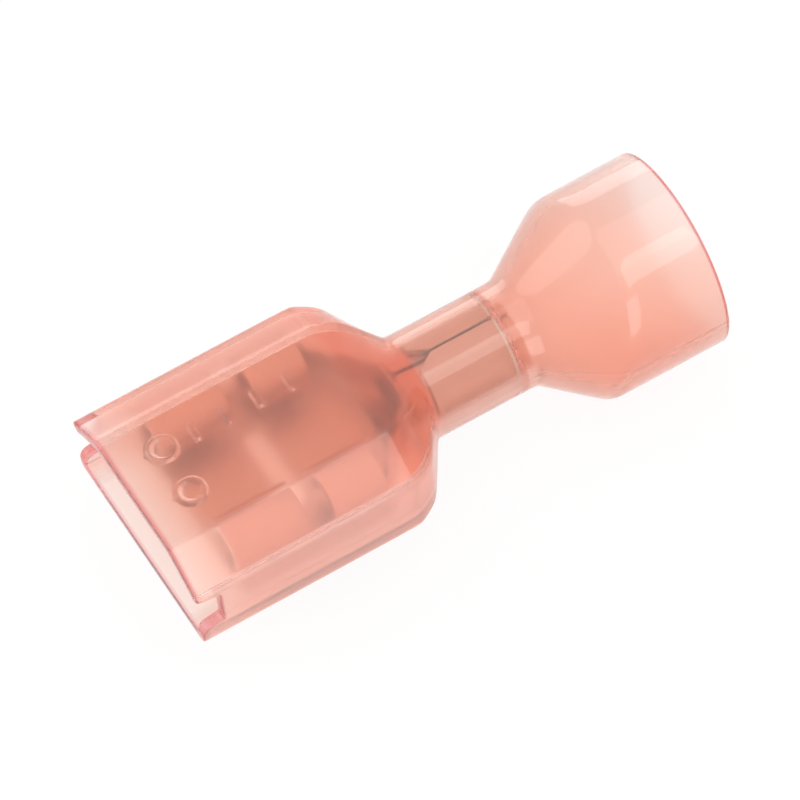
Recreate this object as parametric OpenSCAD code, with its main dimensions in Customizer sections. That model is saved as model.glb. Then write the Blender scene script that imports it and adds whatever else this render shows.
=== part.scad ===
// Female spade terminal, fully insulated. A one-piece nylon housing, with a flared
// wire funnel behind and a flattened box in front, holds a rolled receptacle for a
// flat tab, whose barrel wears a seamed crimp sleeve.
// The wire axis is X: the wire enters at X = 0 and the tab enters at the far end.
// The tab lies flat in the plane Z = 0, and +Z is the side with the flat roof.

/* [Tab and receptacle] */
// Width of the flat tab that plugs in
tab_w = 6.35; // [4.75:0.05:7.8]
// Thickness of the tab
tab_t = 0.81; // [0.5:0.01:1.2]
// Free play beside the tab, each side
tab_play = 0.125; // [0.05:0.005:0.3]
// Thickness of the receptacle's strip
metal_t = 0.4; // [0.3:0.01:0.5]
// Outer radius of the rolled edges
roll_r = 1.0; // [0.8:0.05:1.3]
// Height of a roll's centre above the tab's upper face
roll_lift = 0.5; // [0.3:0.05:0.7]
// Outer radius of the bend between base and sides
bend_r = 0.6; // [0.55:0.05:0.9]
// Length of the rolled channel
channel_len = 6.2; // [5.8:0.05:9]
// Width of the relief slot across each roll
slot_w = 1.0; // [0.6:0.05:1.5]
// Distance from the channel's front edge to the slot
slot_back = 3.5; // [2:0.05:4.5]
// Width of the locking window in the base, along the wire axis
window_w = 0.9; // [0.6:0.05:1.2]
// Length of the locking window, across the base
window_len = 3.6; // [2.4:0.1:4.4]

/* [Barrel and crimp sleeve] */
// Inner radius of the wire barrel
barrel_bore_r = 0.9; // [0.8:0.05:1.2]
// Length of the wire barrel
barrel_len = 5.0; // [4:0.1:6]
// Gap along the butted seams
seam_gap = 0.12; // [0.06:0.01:0.2]
// Wall of the crimp sleeve
sleeve_t = 0.33; // [0.25:0.01:0.45]
// Length of the crimp sleeve
sleeve_len = 3.4; // [2.6:0.1:3.7]
// Length of barrel that shows behind the sleeve
barrel_tail = 0.6; // [0.4:0.05:1]
// Width of the sleeve's seam where it opens at the front
seam_mouth_w = 0.9; // [0.5:0.05:1.2]
// Length of that opening
seam_mouth_len = 0.8; // [0.4:0.05:1.2]
// Radial clearance between sleeve and barrel
sleeve_fit = 0.02; // [0.01:0.005:0.04]

/* [Housing box] */
// Wall of the housing's box
wall = 0.48; // [0.4:0.02:0.6]
// Clearance beside the receptacle, each side
side_room = 0.42; // [0.25:0.01:0.6]
// Clearance under the receptacle's base
floor_room = 0.02; // [0.01:0.005:0.05]
// Clearance over the rolls
roof_room = 0.34; // [0.2:0.01:0.6]
// Width of the sloping facet beside the roof, each side
bevel_w = 1.9; // [1.5:0.05:2.1]
// Height of that facet
bevel_h = 1.12; // [0.8:0.02:1.3]
// Radius along the outer edges
corner_r = 0.35; // [0.2:0.05:0.45]
// Radius along the inner edges
inner_r = 0.12; // [0.05:0.01:0.2]
// Distance from the mouth to the receptacle's front edge
front_room = 2.1; // [1:0.05:2.6]
// Length of the straight box, from the mouth to the shoulder
box_len = 9.1; // [8.9:0.05:10.6]
// Depth of the notch in each side of the mouth
notch_depth = 0.9; // [0.5:0.05:1.4]
// Height of the side's rim, in the notch, above the underside
rim_h = 0.93; // [0.7:0.01:1.2]
// Radius at the front of that rim
rim_r = 0.4; // [0.2:0.05:0.6]

/* [Shoulder, neck and funnel] */
// Length of the shoulder between box and neck
shoulder_len = 2.2; // [1.8:0.05:2.6]
// How far the shoulder has drawn in at its knee, each side
knee_in = 0.44; // [0.3:0.02:0.6]
// Distance from the box to that knee
knee_len = 0.88; // [0.7:0.02:1.1]
// Length of the neck
neck_len = 4.5; // [4.4:0.05:5.4]
// Wall of the neck
neck_wall = 0.41; // [0.3:0.01:0.6]
// Radial clearance between neck and crimp sleeve
neck_fit = 0.02; // [0.01:0.005:0.04]
// Radial reach of the lip that stops the sleeve
stop_lip = 0.22; // [0.15:0.01:0.3]
// Clearance between that lip and the sleeve
stop_room = 0.1; // [0.05:0.01:0.2]
// Length of the funnel, rim to neck
funnel_len = 6.8; // [6.4:0.1:8]
// Outer radius of the funnel's rim
funnel_r = 3.9; // [3.4:0.05:4.4]
// Wall of the funnel
funnel_wall = 0.45; // [0.35:0.01:0.6]
// Half angle of the funnel's cone
cone_angle = 35; // [30:0.5:40]
// Tip of the cone towards the underside
cone_tip = 6.5; // [0:0.5:9]
// Depth of the stop lip in front of the cone
lip_depth = 0.7; // [0.5:0.05:0.9]

/* [Moulded marks] */
// Height of the raised marks on the roof
mark_h = 0.1; // [0.06:0.01:0.15]
// Width of their lines
mark_line = 0.22; // [0.15:0.01:0.3]
// Outer radius of the round marks
mark_r = 0.6; // [0.4:0.05:0.8]
// Length of the short bars
mark_bar = 0.8; // [0.5:0.05:1]
// Spacing of the marks along the roof
mark_pitch = 1.3; // [1:0.05:1.4]
// Distance from the mouth to the first mark
mark_back = 1.9; // [1.2:0.05:2.4]
// Distance of the marks from the roof's middle line
mark_side = 1.05; // [0.8:0.05:1.3]

/* [Hidden] */
$fn = 64;
hull_fn = 32;
round_over = 1.01; // a hull's circle stands this much outside the bar it meets
cut = 1;           // how far a cutting shape runs past what it cuts
slab = 0.02;       // thickness of a cross-section inside a hull
arc_steps = 5;     // straight pieces in a quarter turn of a small edge
bars = 4;          // marks in the row of short bars

// Stations along the wire axis, from the funnel's rim to the mouth
neck_x = funnel_len;
shoulder_x = neck_x + neck_len;
box_x = shoulder_x + shoulder_len;
mouth_x = box_x + box_len;

// Receptacle
channel_w = tab_w + 2 * tab_play + 2 * metal_t;
base_top = -tab_t / 2;
base_low = base_top - metal_t;
roll_z = tab_t / 2 + roll_lift;
roll_y = channel_w / 2 - roll_r;
roll_end = 180 + asin(roll_lift / roll_r);
channel_front = mouth_x - front_room;
channel_back = channel_front - channel_len;

// Barrel, sleeve and neck, each round the one inside it
barrel_r = barrel_bore_r + metal_t;
sleeve_bore_r = barrel_r + sleeve_fit;
sleeve_r = sleeve_bore_r + sleeve_t;
neck_bore_r = sleeve_r + neck_fit;
neck_r = neck_bore_r + neck_wall;
lip_x = neck_x + lip_depth;
sleeve_back = lip_x + stop_room;
sleeve_front = sleeve_back + sleeve_len;
barrel_back = sleeve_back - barrel_tail;
barrel_front = barrel_back + barrel_len;

// Housing box, round the receptacle
box_w = channel_w + 2 * side_room + 2 * wall;
box_low = base_low - floor_room - wall;
box_top = roll_z + roll_r + roof_room + wall;
side_top = box_top - bevel_h;
bevel_len = norm([bevel_w, bevel_h]);
shoulder_angle = atan((box_w / 2 - neck_r) / shoulder_len);
inner_shift = wall * tan(shoulder_angle / 2);
trough_front = box_x + inner_shift;

// Points of an arc round centre c, from angle a0 to a1 in n straight pieces
function arc(c, r, a0, a1, n) =
    [for (i = [0:n]) let (a = a0 + (a1 - a0) * i / n) c + r * [cos(a), sin(a)]];

// The same outline on the other side of the middle line
function other_side(pts) = [for (i = [len(pts) - 1:-1:0]) [-pts[i].x, pts[i].y]];

// Right half of the box's cross-section, drawn in by inset with edges of radius r:
// underside edge, top of the upright side, edge of the roof
function box_half(inset, r) =
    let (y = box_w / 2 - inset,
         low = box_low + inset,
         top = box_top - inset,
         shrink = inset * bevel_len,
         slope = atan(bevel_h / bevel_w),
         side_z = side_top + (inset * bevel_h - shrink) / bevel_w,
         roof_y = box_w / 2 - (shrink + (top - side_top) * bevel_w) / bevel_h,
         side_drop = r * tan((90 - slope) / 2),
         roof_drop = r * tan(slope / 2))
    concat(arc([y - r, low + r], r, -90, 0, arc_steps),
           arc([y - r, side_z - side_drop], r, 0, 90 - slope, arc_steps),
           arc([roof_y - roof_drop, top - r], r, 90 - slope, 90, arc_steps));

// Carries a flat outline in Y and Z along X, from x0 over the given length
module along_x(x0, length)
    translate([x0, 0, 0]) rotate([90, 0, 90]) linear_extrude(length) children();

// Round bar on the wire axis from x0 to x1
module rod(x0, x1, r)
    translate([x0, 0, 0]) rotate([0, 90, 0]) cylinder(h = x1 - x0, r = r);

// Box cross-section as an outline
module box_outline(inset, r)
    polygon(concat(box_half(inset, r), other_side(box_half(inset, r))));

// Shoulder from the box's section, over a knee, to a circle of radius r_neck,
// with the box drawn in by inset and every station moved forward by shift
module shoulder(inset, r_edge, r_neck, shift) hull() {
    along_x(box_x + shift, slab) box_outline(inset, r_edge);
    along_x(box_x - knee_len + shift, slab) box_outline(inset + knee_in, r_edge);
    along_x(shoulder_x + shift, slab) circle(r_neck * round_over, $fn = hull_fn);
}

// Cone that flares from the neck towards the rim, drawn in by inset and starting
// at radius r0, tipped towards the underside
module flare(inset, r0) {
    r_ref = neck_r - inset / cos(cone_angle);
    back = (r_ref - r0) / tan(cone_angle);
    length = back + funnel_len + funnel_r;
    translate([neck_x, 0, 0]) rotate([0, -90 - cone_tip, 0]) translate([0, 0, -back])
        cylinder(h = length, r1 = r0, r2 = r0 + length * tan(cone_angle));
}

// Notch through both sides of the mouth, which leaves a rim with a rounded front
module mouth_notch() {
    rim_z = box_low + rim_h;
    rotate([90, 0, 0]) linear_extrude(box_w + 2 * cut, center = true)
        polygon(concat(
            [[mouth_x - notch_depth, side_top], [mouth_x - notch_depth, rim_z]],
            arc([mouth_x - rim_r, rim_z - rim_r], rim_r, 90, 0, arc_steps),
            [[mouth_x + cut, rim_z - rim_r], [mouth_x + cut, side_top]]));
}

// Plain raised marks on the roof: two rings near the mouth and a row of short bars
module roof_marks() {
    sunk = box_top - wall / 2;
    for (side = [-1, 1])
        translate([mouth_x - mark_back, side * mark_side, sunk])
            linear_extrude(wall / 2 + mark_h)
                difference() {
                    circle(mark_r);
                    circle(mark_r - mark_line);
                }
    for (i = [1:bars])
        translate([mouth_x - mark_back - i * mark_pitch, -mark_side, sunk])
            linear_extrude(wall / 2 + mark_h)
                square([mark_line, mark_bar], center = true);
}

module housing() color([0.93, 0.62, 0.54, 0.75]) difference() {
    union() {
        along_x(box_x, box_len) box_outline(0, corner_r);
        shoulder(0, corner_r, neck_r, 0);
        rod(neck_x, shoulder_x + slab, neck_r);
        intersection() {
            rod(0, neck_x + neck_r, funnel_r);
            flare(0, neck_bore_r);
        }
        roof_marks();
    }
    along_x(box_x + inner_shift, box_len + cut) box_outline(wall, inner_r);
    shoulder(wall, inner_r, neck_bore_r, inner_shift);
    rod(lip_x, shoulder_x + inner_shift + slab, neck_bore_r);
    rod(neck_x - cut, lip_x + slab, neck_bore_r - stop_lip);
    intersection() {
        rod(-cut, neck_x + neck_r, funnel_r - funnel_wall);
        flare(funnel_wall, neck_bore_r - 2 * stop_lip);
    }
    mouth_notch();
}

// Rolled channel: base, side bends and edges rolled inwards down to the tab's face
module channel_outline() {
    bend_c = [channel_w / 2 - bend_r, base_low + bend_r];
    roll_c = [roll_y, roll_z];
    right = concat(
        arc(bend_c, bend_r, -90, 0, arc_steps),
        arc(roll_c, roll_r, 0, roll_end, 4 * arc_steps),
        arc(roll_c, roll_r - metal_t, roll_end, 0, 3 * arc_steps),
        arc(bend_c, bend_r - metal_t, 0, -90, arc_steps));
    polygon(concat(right, other_side(right)));
}

// Pan-shaped section of the trough behind the channel, y wide on each side
module pan_outline(y, low, top, r)
    polygon(concat(
        arc([y - r, low + r], r, -90, 0, arc_steps), [[y, top], [-y, top]],
        other_side(arc([y - r, low + r], r, -90, 0, arc_steps))));

// Trough that narrows from the channel to the barrel, solid or as its hollow
module trough(hollow) {
    in = hollow ? metal_t : 0;
    rise = hollow ? box_top : 0;
    over = hollow ? slab : 0;
    narrow = (channel_w / 2 - barrel_r) / (channel_back - barrel_front);
    mid_y = barrel_r + narrow * (trough_front - barrel_front);
    hull() {
        along_x(channel_back + over, slab)
            pan_outline(channel_w / 2 - in, base_low + in, roll_z + rise, bend_r - in);
        along_x(trough_front, slab)
            pan_outline(mid_y - in, base_low + in, roll_z + rise, bend_r - in);
    }
    hull() {
        along_x(trough_front, slab)
            pan_outline(mid_y - in, base_low + in, roll_z + rise, bend_r - in);
        along_x(barrel_front - over, slab) circle((barrel_r - in) * round_over, $fn = hull_fn);
    }
}

module receptacle() color([0.84, 0.74, 0.66]) difference() {
    union() {
        along_x(channel_back, channel_len) channel_outline();
        difference() {
            trough(false);
            trough(true);
        }
        rod(barrel_back, barrel_front + slab, barrel_r);
    }
    rod(barrel_back - cut, barrel_front + slab, barrel_bore_r);
    translate([barrel_back - cut, -seam_gap / 2, 0])
        cube([barrel_len + cut, seam_gap, barrel_r + cut]);
    translate([channel_front - slot_back - slot_w / 2, -box_w / 2, base_top + tab_t / 2])
        cube([slot_w, box_w, box_top]);
    translate([channel_front - slot_back, 0, base_low - cut]) {
        for (side = [-1, 1]) translate([0, side * (window_len - window_w) / 2, 0])
            cylinder(h = metal_t + 2 * cut, r = window_w / 2);
        translate([-window_w / 2, (window_w - window_len) / 2, 0])
            cube([window_w, window_len - window_w, metal_t + 2 * cut]);
    }
}

module crimp_sleeve() color([0.86, 0.84, 0.80]) difference() {
    rod(sleeve_back, sleeve_front, sleeve_r);
    rod(sleeve_back - cut, sleeve_front + cut, sleeve_bore_r);
    translate([sleeve_back - cut, -seam_gap / 2, 0])
        cube([sleeve_len + 2 * cut, seam_gap, sleeve_r + cut]);
    linear_extrude(sleeve_r + cut)
        polygon([[sleeve_front + slab, -seam_mouth_w / 2], [sleeve_front + slab, seam_mouth_w / 2],
                 [sleeve_front - seam_mouth_len, 0]]);
}

housing();
receptacle();
crimp_sleeve();
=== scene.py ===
import math

import bmesh
import bpy
import numpy as np
from mathutils import Matrix, Vector


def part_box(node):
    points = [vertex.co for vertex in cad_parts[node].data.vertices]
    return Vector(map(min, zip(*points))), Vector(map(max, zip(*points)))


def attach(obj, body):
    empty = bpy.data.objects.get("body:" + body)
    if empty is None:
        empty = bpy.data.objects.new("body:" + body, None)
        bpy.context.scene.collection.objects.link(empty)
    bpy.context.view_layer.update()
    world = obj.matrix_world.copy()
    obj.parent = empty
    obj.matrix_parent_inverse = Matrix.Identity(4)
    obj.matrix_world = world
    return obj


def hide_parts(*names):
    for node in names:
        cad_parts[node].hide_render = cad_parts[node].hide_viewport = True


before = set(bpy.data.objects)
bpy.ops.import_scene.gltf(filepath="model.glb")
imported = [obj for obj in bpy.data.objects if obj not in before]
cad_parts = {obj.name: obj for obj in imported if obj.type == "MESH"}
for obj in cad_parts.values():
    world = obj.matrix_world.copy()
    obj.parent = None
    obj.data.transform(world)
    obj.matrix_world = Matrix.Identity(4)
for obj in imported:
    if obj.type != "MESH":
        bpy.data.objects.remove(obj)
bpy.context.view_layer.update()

# ---------------------------------------------------------------------------
# Housing. One moulded piece of translucent pink nylon 66: flared wire funnel,
# round neck, tapering shoulder and a flat box with sloping facets, about half a
# millimetre thick all over, polished outside and a little duller inside.
# ---------------------------------------------------------------------------

# Sizes in millimetres, as the housing is drawn: X runs along the wire, Z is up
MM = 0.001
low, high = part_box("housing")
MOUTH_X = high[0] / MM
BOX_HALF_W = high[1] / MM
FUNNEL_R = high[2] / MM
FUNNEL_LEN, NECK_LEN, SHOULDER_LEN = 6.8, 4.5, 2.2
SHOULDER_X = FUNNEL_LEN + NECK_LEN
BOX_X = SHOULDER_X + SHOULDER_LEN
BOX_LOW, BOX_TOP = -1.305, 2.725
BEVEL_W, BEVEL_H = 1.9, 1.12                # each sloping facet, across and down
SIDE_TOP = BOX_TOP - BEVEL_H
WALL, FUNNEL_WALL = 0.48, 0.45
CORNER_R, INNER_R = 0.35, 0.14              # the box's long edges, outside and inside
NECK_R, NECK_BORE_R = 2.08, 1.67
LIP_BORE_R, LIP_LEN, LIP_RAMP = 1.45, 0.7, 0.1      # stop lip behind the crimp sleeve
CONE_ANGLE, CONE_TIP = math.radians(35), math.radians(6.5)
CONE_SOFT, BORE_SOFT = 0.11, 0.09           # rounding where the cone meets its neighbours
KNEE_LEN, KNEE_IN = 0.88, 0.44              # the shoulder's last, gentler rise
KNEE_SOFT, END_SOFT = 0.10, 0.05            # its rounding, as shares of SHOULDER_LEN
NOTCH_DEPTH, NOTCH_RISE = 0.9, 0.10
RIM_Z, RIM_R = BOX_LOW + 0.93, 0.4          # top of the tray's rim under the notch
EDGE = 0.10                                 # reach of the rounded end faces
SEAM_H, SEAM_W = 0.02, 0.05                 # the mould's parting line
MARK_H, MARK_LINE, MARK_R, MARK_BAR = 0.1, 0.22, 0.6, 0.8
MARK_PITCH, MARK_BACK, MARK_SIDE = 1.3, 1.9, 1.05
MARK_BARS, MARK_BLUR = 4, 0.03

# Points along each stretch of half the box's outline, from below round to the roof
UNDER_N, FOOT_N, RIM_N, ABOVE_N, CREASE_N, FACET_N, ROOF_N = 14, 9, 9, 20, 7, 6, 53
NOTCH_STEPS = np.array([0.3, 0.6, 1.0])     # points up the notch's lower end
SIDE_N = 1 + RIM_N + len(NOTCH_STEPS) + ABOVE_N
FAN_ANGLE = 73                              # degrees over which the points below fan out
EDGE_ROWS = 8                               # rows of points round each end face


def smooth_step(v):
    """0 below 0, 1 above 1, and three v squared less two v cubed between."""
    v = np.clip(v, 0.0, 1.0)
    return v * v * (3 - 2 * v)


def soft_ramp(v, e):
    """A ramp that is 0 before v = 0 and v after it, rounded over about e."""
    return (v + np.sqrt(v * v + e * e)) / 2


def arc_points(cy, cz, r, a0, a1, n):
    """n points round (cy, cz) at radius r, from angle a0 to a1 in degrees."""
    a = np.radians(np.linspace(a0, a1, n))
    return np.stack([cy + r * np.cos(a), cz + r * np.sin(a)], axis=1)


def line_points(p, q, t):
    """Points between p and q at the fractions t."""
    return np.outer(1 - t, p) + np.outer(t, q)


def half_section(inset, r):
    """Right half of the box's outline, drawn in by inset with edges of radius r, from
    the middle of the underside up to the middle of the roof. Each stretch always has
    the same number of points, so an outline inside another keeps its columns."""
    y, z0, z1 = BOX_HALF_W - SEAM_H - inset, BOX_LOW + inset, BOX_TOP - inset
    slope = math.atan2(BEVEL_H, BEVEL_W)
    shrink = inset * math.hypot(BEVEL_W, BEVEL_H)
    side_z = SIDE_TOP + (inset * BEVEL_H - shrink) / BEVEL_W
    roof_y = y + inset - (shrink + (z1 - SIDE_TOP) * BEVEL_W) / BEVEL_H
    side_drop, roof_drop = r * math.tan((math.pi / 2 - slope) / 2), r * math.tan(slope / 2)
    side_end = side_z - side_drop
    side_last = side_end - 0.04
    turn = 90 - math.degrees(slope)
    fan = np.tan(np.radians(np.linspace(0, FAN_ANGLE, UNDER_N + 1)))
    under = line_points((0, z0), (y - r, z0), fan / fan[-1])[:-1]
    foot = arc_points(y - r, z0 + r, r, -90, 0, FOOT_N)
    heights = np.concatenate([
        [(z0 + r + RIM_Z - RIM_R) / 2],
        RIM_Z - RIM_R + RIM_R * np.sin(np.radians(np.linspace(0, 90, RIM_N))),
        RIM_Z + NOTCH_RISE * NOTCH_STEPS,
        np.linspace(RIM_Z + 1.6 * NOTCH_RISE, side_last, ABOVE_N)])
    side = np.stack([np.full(SIDE_N, y), heights], axis=1)
    crease = arc_points(y - r, side_end, r, 0, turn, CREASE_N)
    eave = arc_points(roof_y - roof_drop, z1 - r, r, turn, 90, CREASE_N)
    facet = line_points(crease[-1], eave[0], np.linspace(0, 1, FACET_N + 2))[1:-1]
    roof = line_points(eave[-1], (0, z1), np.linspace(0, 1, ROOF_N + 1))[1:]
    return np.concatenate([under, foot, side, crease, facet, eave, roof])


def whole_section(inset, r):
    """The right half and its mirror image, as one closed outline of Y and Z."""
    right = half_section(inset, r)
    left = right[-2:0:-1] * (-1, 1)
    return np.concatenate([right, left])


def cone_radius(x, phi, ref):
    """Radius, in direction phi round the wire axis, of a cone whose axis is tipped
    down by CONE_TIP: the root of the quadratic that says the point's distance from
    the tipped axis is ref plus the distance along it times the cone's slope. It is
    kept from reaching the cone's point, where it is well inside the neck."""
    k, c, s = math.tan(CONE_ANGLE), math.cos(CONE_TIP), np.sin(phi) * math.sin(CONE_TIP)
    d = np.maximum(FUNNEL_LEN - x, -1)
    a2 = 1 - (1 + k * k) * s * s
    a1 = 2 * (1 + k * k) * d * c * s + 2 * ref * k * s
    a0 = d * d - (1 + k * k) * d * d * c * c - 2 * ref * k * d * c - ref * ref
    root = np.sqrt(np.maximum(a1 * a1 - 4 * a2 * a0, 0))
    return (root - a1) / (2 * a2)


def body_radius(x, phi, neck, ref, rim, e):
    """Round part of the housing: the neck's radius, the cone where it is wider, and
    the funnel's radius where that is narrower, with the creases rounded over e."""
    flared = neck + soft_ramp(cone_radius(x, phi, ref) - neck, e)
    return rim - soft_ramp(rim - flared, e)


def shoulder_share(x):
    """How much of the box's section has been reached at x: a rounded ramp from 0 at
    the neck, over the knee, to 1 at the box."""
    u = (x - SHOULDER_X) / SHOULDER_LEN
    knee_u = 1 - KNEE_LEN / SHOULDER_LEN
    knee_w = 1 - KNEE_IN / (BOX_HALF_W - NECK_R)
    steep, gentle = knee_w / knee_u, (1 - knee_w) / (1 - knee_u)
    return (steep * soft_ramp(u, END_SOFT) + (gentle - steep) * soft_ramp(u - knee_u, KNEE_SOFT)
            - gentle * soft_ramp(u - 1, END_SOFT))


outer_section = whole_section(0, CORNER_R)
inner_section = whole_section(WALL, INNER_R)
columns = len(outer_section)
phi = np.arctan2(outer_section[:, 1], outer_section[:, 0])
ray = np.stack([np.cos(phi), np.sin(phi)], axis=1)


def front_line():
    """X of the front edge in every column. It is the mouth's plane, drawn back along a
    quarter circle up to the rim, then by a smooth step to the notch's depth, and out
    again over the three columns below the facet, alike on both sides."""
    z = half_section(0, CORNER_R)[:, 1]
    column = np.arange(len(z))
    foot_end = UNDER_N + FOOT_N
    side_end = foot_end + SIDE_N
    climb = np.clip(z - (RIM_Z - RIM_R), 0, RIM_R)
    rounded = RIM_R - np.sqrt(RIM_R ** 2 - climb ** 2)
    stepped = RIM_R + (NOTCH_DEPTH - RIM_R) * smooth_step((z - RIM_Z) / NOTCH_RISE)
    back = np.where(z > RIM_Z + 0.001, stepped, rounded)
    back = np.where(column < foot_end, 0, back)
    back = back * (1 - smooth_step((column - side_end + 1) / 3))
    return MOUTH_X - np.concatenate([back, back[-2:0:-1]])


front = front_line()


def raised_marks(x, y):
    """Height of the plain marks on the roof at x and y: two rings and a row of bars,
    each with its sides rounded over a short way."""
    height = np.zeros(np.broadcast(x, y).shape)
    for side in (-1, 1):
        ring = np.hypot(x - (MOUTH_X - MARK_BACK), y - side * MARK_SIDE)
        off = np.abs(ring - (MARK_R - MARK_LINE / 2)) - MARK_LINE / 2
        height = np.maximum(height, smooth_step(0.5 - off / MARK_BLUR))
    for i in range(1, MARK_BARS + 1):
        across = np.abs(x - (MOUTH_X - MARK_BACK - i * MARK_PITCH)) - MARK_LINE / 2
        along = np.abs(y + MARK_SIDE) - MARK_BAR / 2
        off = np.maximum(across, along)
        height = np.maximum(height, smooth_step(0.5 - off / MARK_BLUR))
    return MARK_H * height


def skin(x, section, radius, neck, shift):
    """One skin of the shell: the round part, plus the shoulder's share, reached shift
    further on, of the way from the circle of radius neck to the box's section. x and
    radius have a row for each station."""
    share = shoulder_share(x - shift)[..., None]
    yz = radius[..., None] * ray + share * (section - neck * ray)
    return np.concatenate([x[..., None], yz], axis=2)


def stations(box_steps):
    """Stations along the wire axis up to just behind the notches: a few on the funnel's
    straight part and the neck, many on the cone and the shoulder, and on the box those
    of box_steps. A stretch is its first station, its last one and their number."""
    cone_from, cone_to = 2.5, FUNNEL_LEN + 0.6
    bend_from, bend_to = SHOULDER_X - 0.2, BOX_X + 0.4
    stretches = [(EDGE, cone_from - 0.1, 7), (cone_from, cone_to, 40),
                 (cone_to + 0.1, bend_from - 0.1, 12), (bend_from, bend_to, 36)]
    return np.concatenate([np.linspace(*stretch) for stretch in stretches + box_steps])


def up_to_front(x):
    """The stations x in every column, with a last stretch that ends EDGE behind the
    column's own front edge."""
    last = np.linspace(0, 1, 9)[1:, None]
    ends = x[-1] + last * (front[None, :] - EDGE - x[-1])
    return np.concatenate([np.repeat(x[:, None], columns, axis=1), ends])


def rounded_edge(outside, inside, step, rows):
    """Rows from the outer skin's edge round to the inner skin's edge. They follow half
    an ellipse that reaches step along X, squared off by raising its sine and cosine to
    a power below 1."""
    squareness = 0.6
    angle = np.linspace(0, math.pi, rows + 2)[1:-1, None, None]
    across = np.sign(np.cos(angle)) * np.abs(np.cos(angle)) ** squareness
    reach = np.sin(angle) ** squareness
    middle, arm = (outside + inside) / 2, (outside - inside) / 2
    return middle + across * arm + reach * np.array([step, 0, 0])


# The outer skin, with close stations under the raised marks and a faint parting line
notch_back = MOUTH_X - 1.24
x_out = up_to_front(stations([(BOX_X + 0.5, BOX_X + 1.1, 4), (BOX_X + 1.16, notch_back, 112)]))
r_out = body_radius(x_out, phi, NECK_R, NECK_R, FUNNEL_R, CONE_SOFT)
outer_skin = skin(x_out, outer_section, r_out, NECK_R, 0)
on_roof = np.abs(outer_section[:, 1] - BOX_TOP) < 0.001
outer_skin[..., 2] += np.where(on_roof, raised_marks(outer_skin[..., 0], outer_skin[..., 1]), 0)
outer_skin[..., 1] += SEAM_H * np.exp(-(outer_skin[..., 2] / SEAM_W) ** 2) * np.sign(ray[:, 0])

# The inner skin, one wall further in, with the stop lip between funnel and neck
x_in = up_to_front(stations([(BOX_X + 0.7, notch_back, 24)]))
past_lip = smooth_step((x_in - FUNNEL_LEN - LIP_LEN) / LIP_RAMP + 0.5)
bore = LIP_BORE_R + (NECK_BORE_R - LIP_BORE_R) * past_lip
r_in = body_radius(x_in, phi, bore, NECK_R - FUNNEL_WALL / math.cos(CONE_ANGLE),
                   FUNNEL_R - FUNNEL_WALL, BORE_SOFT)
slant = math.atan((BOX_HALF_W - NECK_R) / SHOULDER_LEN)
inner_skin = skin(x_in, inner_section, r_in, NECK_BORE_R, WALL * math.tan(slant / 2))

front_face = rounded_edge(outer_skin[-1], inner_skin[-1], EDGE, EDGE_ROWS)
rim_face = rounded_edge(inner_skin[0], outer_skin[0], -EDGE, EDGE_ROWS)
shell = np.concatenate([outer_skin, front_face, inner_skin[::-1], rim_face])


def ring_mesh(name, grid):
    """Mesh of a grid of points that closes on itself both ways. The corners' order is
    turned round if the volume that the faces enclose comes out negative, so that the
    faces point outwards."""
    rows, cols = grid.shape[:2]
    r, c = np.meshgrid(np.arange(rows), np.arange(cols), indexing="ij")
    r2, c2 = (r + 1) % rows, (c + 1) % cols
    quads = np.stack([r * cols + c, r * cols + c2, r2 * cols + c2, r2 * cols + c], axis=-1)
    quads = quads.reshape(-1, 4)
    points = grid.reshape(-1, 3)
    p0, p1, p2, p3 = (points[quads[:, corner]] for corner in range(4))
    volume = np.sum(p0 * (np.cross(p1, p2) + np.cross(p2, p3)))
    if volume < 0:
        quads = quads[:, ::-1]
    mesh = bpy.data.meshes.new(name)
    mesh.from_pydata((points * MM).tolist(), [], quads.tolist())
    mesh.polygons.foreach_set("use_smooth", np.ones(len(quads), dtype=bool))
    mesh.update()
    obj = bpy.data.objects.new(name, mesh)
    bpy.context.collection.objects.link(obj)
    return obj


def point_values(obj, name, values):
    """Keeps one number for each point of the piece as the attribute name."""
    attribute = obj.data.attributes.new(name, "FLOAT", "POINT")
    attribute.data.foreach_set("value", values.ravel().astype(np.float32))


housing = ring_mesh("nylon_housing", shell)
x, off_middle, z = shell[..., 0], np.abs(shell[..., 1]), shell[..., 2]
row = np.arange(len(shell))[:, None]
inner_from = len(outer_skin) + EDGE_ROWS
is_outer = row < len(outer_skin)
is_inner = (row >= inner_from) & (row < inner_from + len(inner_skin))

# Duller where the core of the mould was: all of the inside but the box's polished floor
FLOOR_Z = BOX_LOW + WALL + 0.05
point_values(housing, "core_side", is_inner & ((z > FLOOR_Z) | (x < BOX_X)))

# Milkier where much light runs along inside the wall: the box's low edges and the sides
MILK, SIDE_MILK, LOW_MILK = 0.06, 0.36, 0.70
LOW_H, LOW_H_FADE, LOW_W, LOW_W_FADE = 0.5, 0.25, 0.9, 0.4     # reach up and inwards
SIDE_SHARE, SIDE_FADE = 0.93, 0.05          # as shares of the half width at that place
low_edge = (smooth_step((BOX_LOW + LOW_H - z) / LOW_H_FADE)
            * smooth_step((off_middle - BOX_HALF_W + LOW_W) / LOW_W_FADE))
low_edge = low_edge * is_outer * (x > BOX_X - 1.2)
outermost = off_middle / off_middle.max(axis=1, keepdims=True)
side_wall = smooth_step((outermost - SIDE_SHARE) / SIDE_FADE)
side_wall = side_wall * is_outer * smooth_step(x - FUNNEL_LEN)
point_values(housing, "haze", np.maximum(MILK + (LOW_MILK - MILK) * low_edge,
                                         MILK + (SIDE_MILK - MILK) * side_wall))

# Crimson where the wall is seen end on: both end faces
is_end = (row >= len(outer_skin) - 1) & ~is_inner
point_values(housing, "edge_side", np.repeat(is_end, columns, axis=1))


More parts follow.
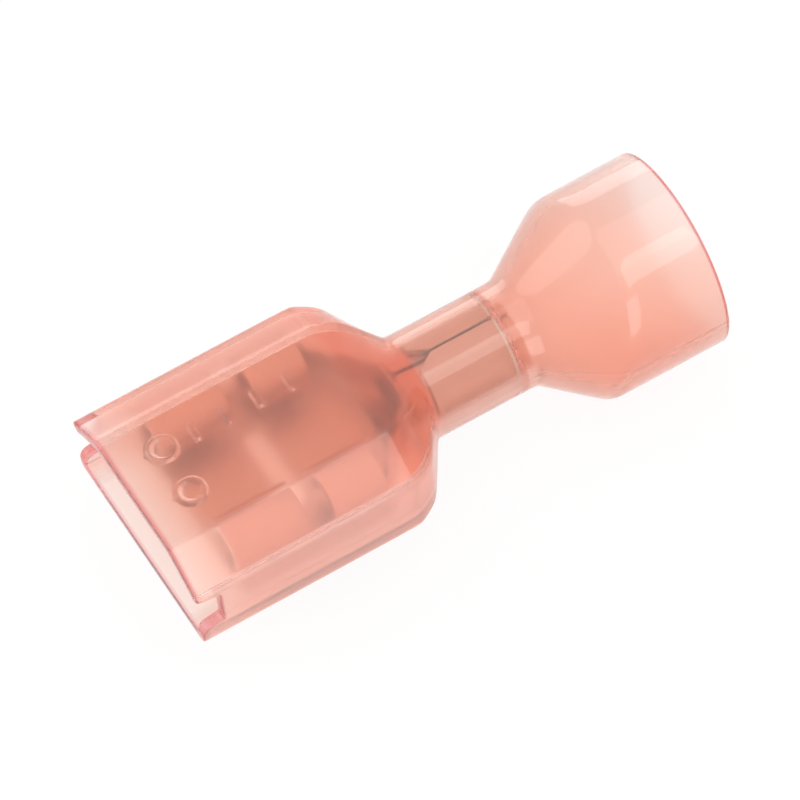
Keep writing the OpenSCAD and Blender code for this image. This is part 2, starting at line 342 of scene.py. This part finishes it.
def linear(hex_colour):
    """Linear red, green, blue and alpha of an sRGB hex colour."""
    parts = [int(hex_colour[i:i + 2], 16) / 255 for i in (1, 3, 5)]
    return [p / 12.92 if p <= 0.04045 else ((p + 0.055) / 1.055) ** 2.4 for p in parts] + [1]


def add(tree, kind, settings=None, links=None):
    """Adds one node of the kind, sets its sockets or properties, and links sockets of
    earlier nodes into it: links is {input: (node, output)}."""
    node = tree.nodes.new("ShaderNode" + kind)
    for key, value in (settings or {}).items():
        if isinstance(key, int) or key in node.inputs:
            node.inputs[key].default_value = value
        else:
            setattr(node, key, value)
    for key, (source, output) in (links or {}).items():
        tree.links.new(source.outputs[output], node.inputs[key])
    return node


# Tints of one passage through the surface: pale as painted light at the open ends and on the lit
# side, along the body, at the thick shoulder (also painted shade on the far side) and on the end faces.
# Then the milk, the shadow and the depth.
LIT_PALE, BODY, THICK_AND_SHADE, END = "#FFF1EB", "#FFD5C6", "#FFBDA8", "#E88E9A"
MILKY, SHADOW, DEPTH = "#FFE0D8", "#FFE3D8", "#FDB390"
FLOW_LONG, FLOW_WIDE = 6.67, 2.38           # spacing of the mould's flow lines


def nylon(name):
    """Moulded nylon 66, natural with a little pink dye: clear enough to show the metal,
    faintly milky, glossy outside and duller where it left the core, with flow lines
    that only bend the highlights."""
    material = bpy.data.materials.new(name)
    material.use_nodes = True
    tree = material.node_tree
    tree.nodes.clear()
    place = add(tree, "TexCoord")
    flow_scale = (1 / (FLOW_LONG * MM), 1 / (FLOW_WIDE * MM), 1 / (FLOW_WIDE * MM))
    flow = add(tree, "Mapping", {"Scale": flow_scale}, {"Vector": (place, "Object")})
    wave = add(tree, "TexNoise", {"Scale": 1.0, "Detail": 3.0, "Roughness": 0.5},
               {"Vector": (flow, "Vector")})
    bump = add(tree, "Bump", {"Strength": 0.05, "Distance": 0.08 * MM}, {"Height": (wave, "Fac")})
    core = add(tree, "Attribute", {"attribute_name": "core_side"})
    rough = add(tree, "MapRange", {"To Min": 0.07, "To Max": 0.34}, {"Value": (core, "Fac")})

    # Painted light: paler from the rim inwards, further on the lit −Y side, and at the mouth, as light
    # comes through the open ends
    soft = {"interpolation_type": "SMOOTHSTEP"}
    axes = add(tree, "SeparateXYZ", {}, {0: (place, "Object")})
    askew = add(tree, "Math", {"operation": "MULTIPLY_ADD", 1: 0.55}, {0: (axes, "Y"), 2: (axes, "X")})
    rim = add(tree, "MapRange", soft | {"From Min": -0.4 * MM, "From Max": 4.0 * MM},
              {"Value": (askew, 0)})
    mouth = add(tree, "MapRange", soft | {"From Min": MOUTH_X * MM, "From Max": (MOUTH_X - 2.6) * MM},
                {"Value": (axes, "X")})
    inland = add(tree, "Math", {"operation": "MULTIPLY"}, {0: (rim, 0), 1: (mouth, 0)})
    dye = add(tree, "MixRGB", {"Color1": linear(LIT_PALE), "Color2": linear(BODY)}, {0: (inland, 0)})

    # Deeper all over the shoulder, and by about half as painted shade on the +Y side of funnel and neck,
    # away from the light
    knee = add(tree, "MapRange", soft | {"From Min": (BOX_X + 0.5) * MM, "From Max": (BOX_X - 0.3) * MM},
               {"Value": (axes, "X")})
    neck = add(tree, "MapRange", soft | {"From Min": (SHOULDER_X - 0.3) * MM, "From Max": SHOULDER_X * MM},
               {"Value": (axes, "X")})
    bend = add(tree, "Math", {"operation": "MULTIPLY"}, {0: (knee, 0), 1: (neck, 0)})
    shaded_side = add(tree, "MapRange", soft | {"From Min": 0.8 * MM, "From Max": 3.6 * MM, "To Max": 0.55},
                   {"Value": (axes, "Y")})
    behind = add(tree, "Math", {"operation": "LESS_THAN", 1: SHOULDER_X * MM}, {0: (axes, "X")})
    flank = add(tree, "Math", {"operation": "MULTIPLY"}, {0: (shaded_side, 0), 1: (behind, 0)})
    shoulder_and_shade = add(tree, "Math", {"operation": "MAXIMUM"}, {0: (bend, 0), 1: (flank, 0)})
    dye = add(tree, "MixRGB", {"Color2": linear(THICK_AND_SHADE)}, {0: (shoulder_and_shade, 0), 1: (dye, 0)})
    end = add(tree, "Attribute", {"attribute_name": "edge_side"})
    tint = add(tree, "MixRGB", {"Color2": linear(END)}, {0: (end, "Fac"), 1: (dye, 0)})

    # Clear nylon with a share of milk in it, which lets a tinted shadow through
    clear = add(tree, "BsdfPrincipled",
                {"IOR": 1.53, "Transmission Weight": 1.0, "distribution": "MULTI_GGX"},
                {"Base Color": (tint, 0), "Normal": (bump, "Normal"), "Roughness": (rough, "Result")})
    lit = add(tree, "BsdfDiffuse", {"Color": linear(MILKY)})
    lit_through = add(tree, "BsdfTranslucent", {"Color": linear(MILKY)})
    milk = add(tree, "MixShader", {0: 0.5}, {1: (lit, 0), 2: (lit_through, 0)})
    haze = add(tree, "Attribute", {"attribute_name": "haze"})
    body = add(tree, "MixShader", {}, {0: (haze, "Fac"), 1: (clear, 0), 2: (milk, 0)})
    path = add(tree, "LightPath")
    shadow = add(tree, "BsdfTransparent", {"Color": linear(SHADOW)})
    surface = add(tree, "MixShader", {}, {0: (path, "Is Shadow Ray"), 1: (body, 0), 2: (shadow, 0)})
    depth = add(tree, "VolumeAbsorption", {"Color": linear(DEPTH), "Density": 160.0})
    add(tree, "OutputMaterial", {}, {"Surface": (surface, 0), "Volume": (depth, 0)})
    return material


housing.data.materials.append(nylon("moulded_nylon"))
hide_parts("housing")
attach(housing, "root")

# ---------------------------------------------------------------------------
# Receptacle and crimp sleeve. The receptacle is blanked from brass strip and rolled
# round the tab's place and the wire; the sleeve is a rolled copper tube round its
# barrel. Both are tin plated: satin and slightly warm, grained along the strip.
# ---------------------------------------------------------------------------

GRAIN_LONG, GRAIN_WIDE = 3.33, 0.111        # rolling lines, drawn coarse enough to show
CLOUD = 1.43                                # spacing of the plating's faint clouds
JOIN = 0.0001                               # corners closer than this are one corner


def tin_plate(name, colour, roughness):
    """Tin plating on rolled strip: soft grey metal, with fine grain along X and a
    faint cloudiness where the plating's thickness varies."""
    material = bpy.data.materials.new(name)
    material.use_nodes = True
    tree = material.node_tree
    tree.nodes.clear()
    place = add(tree, "TexCoord")
    grain_scale = (1 / (GRAIN_LONG * MM), 1 / (GRAIN_WIDE * MM), 1 / (GRAIN_WIDE * MM))
    along = add(tree, "Mapping", {"Scale": grain_scale}, {"Vector": (place, "Object")})
    grain = add(tree, "TexNoise", {"Scale": 1.0, "Detail": 4.0}, {"Vector": (along, "Vector")})
    cloud = add(tree, "TexNoise", {"Scale": 1 / (CLOUD * MM), "Detail": 3.0},
                {"Vector": (place, "Object")})
    tone = add(tree, "MapRange", {"To Min": 0.86, "To Max": 1.0}, {"Value": (cloud, "Fac")})
    shade = add(tree, "MixRGB", {"blend_type": "MULTIPLY", "Fac": 1.0, "Color1": linear(colour)},
                {"Color2": (tone, "Result")})
    rough = add(tree, "MapRange", {"To Min": roughness - 0.06, "To Max": roughness + 0.08},
                {"Value": (cloud, "Fac")})
    bump = add(tree, "Bump", {"Strength": 0.15, "Distance": 0.01 * MM}, {"Height": (grain, "Fac")})
    metal = add(tree, "BsdfPrincipled", {"Metallic": 0.85},
                {"Base Color": (shade, "Color"), "Roughness": (rough, "Result"),
                 "Normal": (bump, "Normal")})
    add(tree, "OutputMaterial", {}, {"Surface": (metal, 0)})
    return material


def rounded_strip(node, name, edge_round):
    """Copy of a CAD piece of strip metal as one joined mesh. Flat stretches are made
    whole, sheared edges rounded over edge_round, and big faces keep their own shading."""
    source = bmesh.new()
    source.from_mesh(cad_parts[node].data)
    bmesh.ops.remove_doubles(source, verts=source.verts, dist=JOIN * MM)
    bmesh.ops.dissolve_limit(source, angle_limit=math.radians(0.5), verts=source.verts,
                             edges=source.edges)
    bmesh.ops.triangulate(source, faces=source.faces)
    mesh = bpy.data.meshes.new(name)
    source.to_mesh(mesh)
    source.free()
    mesh.polygons.foreach_set("use_smooth", np.ones(len(mesh.polygons), dtype=bool))
    obj = bpy.data.objects.new(name, mesh)
    bpy.context.collection.objects.link(obj)
    bevel = obj.modifiers.new("sheared_edge", "BEVEL")
    bevel.width = edge_round * MM
    bevel.segments = 2
    bevel.limit_method = "ANGLE"
    bevel.angle_limit = math.radians(50)
    bevel.use_clamp_overlap = False
    weld = obj.modifiers.new("joined_slivers", "WELD")
    weld.merge_threshold = 10 * JOIN * MM
    flats = obj.modifiers.new("flat_faces", "WEIGHTED_NORMAL")
    flats.mode = "FACE_AREA_WITH_ANGLE"
    flats.weight = 95
    return obj


for node, name, colour, roughness, edge_round, slot in (
        ("receptacle", "tin_plated_brass", "#E9CCBB", 0.36, 0.05, "tinned_brass"),
        ("crimp_sleeve", "tin_plated_copper", "#DCD8D0", 0.28, 0.06, "tinned_copper")):
    piece = rounded_strip(node, name + "_" + node, edge_round)
    piece.data.materials.append(tin_plate(name, colour, roughness))
    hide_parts(node)
    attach(piece, "root")

# ---------------------------------------------------------------------------
# Table, light and camera. White paper that keeps the terminal's shadow, a white room
# and five large softboxes, the main one mirrored by the facet nearest the camera.
# ---------------------------------------------------------------------------

floor_z = low[2]
span = 3.0                                  # half the table's width, in metres
floor_mesh = bpy.data.meshes.new("table")
floor_mesh.from_pydata([(-span, -span, floor_z), (span, -span, floor_z), (span, span, floor_z),
                        (-span, span, floor_z)], [], [(0, 1, 2, 3)])
table = bpy.data.objects.new("table", floor_mesh)
bpy.context.collection.objects.link(table)

# Paper white to the camera but for a trace of shadow, and in all that the piece shows
paper = bpy.data.materials.new("white_paper")
paper.use_nodes = True
tree = paper.node_tree
tree.nodes.clear()
path = add(tree, "LightPath")
seen_white = add(tree, "Math", {"operation": "MULTIPLY", 1: 0.91}, {0: (path, "Is Camera Ray")})
seen_in_piece = add(tree, "Math", {"operation": "MAXIMUM"},
                    {0: (path, "Is Transmission Ray"), 1: (path, "Is Glossy Ray")})
share = add(tree, "Math", {"operation": "MAXIMUM"}, {0: (seen_white, 0), 1: (seen_in_piece, 0)})
matt = add(tree, "BsdfDiffuse", {"Color": linear("#F2F2F2")})
glow = add(tree, "Emission", {"Color": (1, 1, 1, 1), "Strength": 1.0})
mix = add(tree, "MixShader", {}, {0: (share, 0), 1: (matt, 0), 2: (glow, 0)})
add(tree, "OutputMaterial", {}, {"Surface": (mix, 0)})
floor_mesh.materials.append(paper)

# White all round, a little dimmer as light on matt surfaces
world = bpy.data.worlds.new("studio")
bpy.context.scene.world = world
world.use_nodes = True
tree = world.node_tree
tree.nodes.clear()
path = add(tree, "LightPath")
level = add(tree, "MapRange", {"To Min": 1.0, "To Max": 0.88}, {"Value": (path, "Is Diffuse Ray")})
sky = add(tree, "Background", {"Color": (1, 1, 1, 1)}, {"Strength": (level, "Result")})
add(tree, "OutputWorld", {}, {"Surface": (sky, 0)})

middle = Vector((11.77, 0.156, -0.092)) * MM        # what lamps and camera are turned to


def softbox(name, direction, distance, size, brightness):
    """Square lamp, size wide, that faces the object from the direction. It is as bright
    as a panel of that radiance, where white paper is 1: its power is pi times its area
    times the brightness. Its light reaches the inside through the nylon as tinted
    shadow, so refraction skips it."""
    lamp = bpy.data.lights.new(name, "AREA")
    lamp.shape = "SQUARE"
    lamp.size = size
    lamp.energy = math.pi * size * size * brightness
    obj = bpy.data.objects.new(name, lamp)
    way = Vector(direction).normalized()
    obj.location = middle + way * distance
    obj.rotation_euler = way.to_track_quat("Z", "Y").to_euler()
    obj.visible_transmission = False
    bpy.context.collection.objects.link(obj)


# Direction, distance and size in metres, brightness
softbox("main_softbox", (-0.222, 0.495, 0.840), 0.25, 0.11, 2.1)
softbox("side_softbox", (0.618, -0.55, 0.556), 0.25, 0.16, 1.2)
softbox("low_softbox", (-0.222, -0.975, 0.10), 0.25, 0.16, 1.6)
softbox("fill_softbox", (0.10, 0.95, 0.30), 0.30, 0.20, 2.0)
softbox("overhead_softbox", (0.0, 0.0, 1.0), 0.40, 0.40, 0.7)

# The camera looks down on the roof from the tab's side, nearly without perspective
sight = Vector((0.222, 0.495, 0.840)).normalized()
right = Vector((-0.858, 0.507, -0.073))
right = (right - sight * right.dot(sight)).normalized()
up = sight.cross(right)
turn = Matrix((right, up, sight)).transposed()
view_width = 28.99 * MM
camera_data = bpy.data.cameras.new("camera")
camera_data.lens = 310.0
camera_data.sensor_width = 36.0
distance = view_width * camera_data.lens / camera_data.sensor_width
camera_data.clip_start = 0.01
camera_data.clip_end = 10.0
camera = bpy.data.objects.new("camera", camera_data)
camera.matrix_world = Matrix.Translation(middle + sight * distance) @ turn.to_4x4()
bpy.context.collection.objects.link(camera)
bpy.context.scene.camera = camera
bpy.context.scene.view_settings.view_transform = "Standard"

# Light that runs along inside the nylon's walls needs many bounces to come out again
cycles = bpy.context.scene.cycles
cycles.max_bounces = 32
cycles.glossy_bounces = 20
cycles.transmission_bounces = 24
cycles.transparent_max_bounces = 16
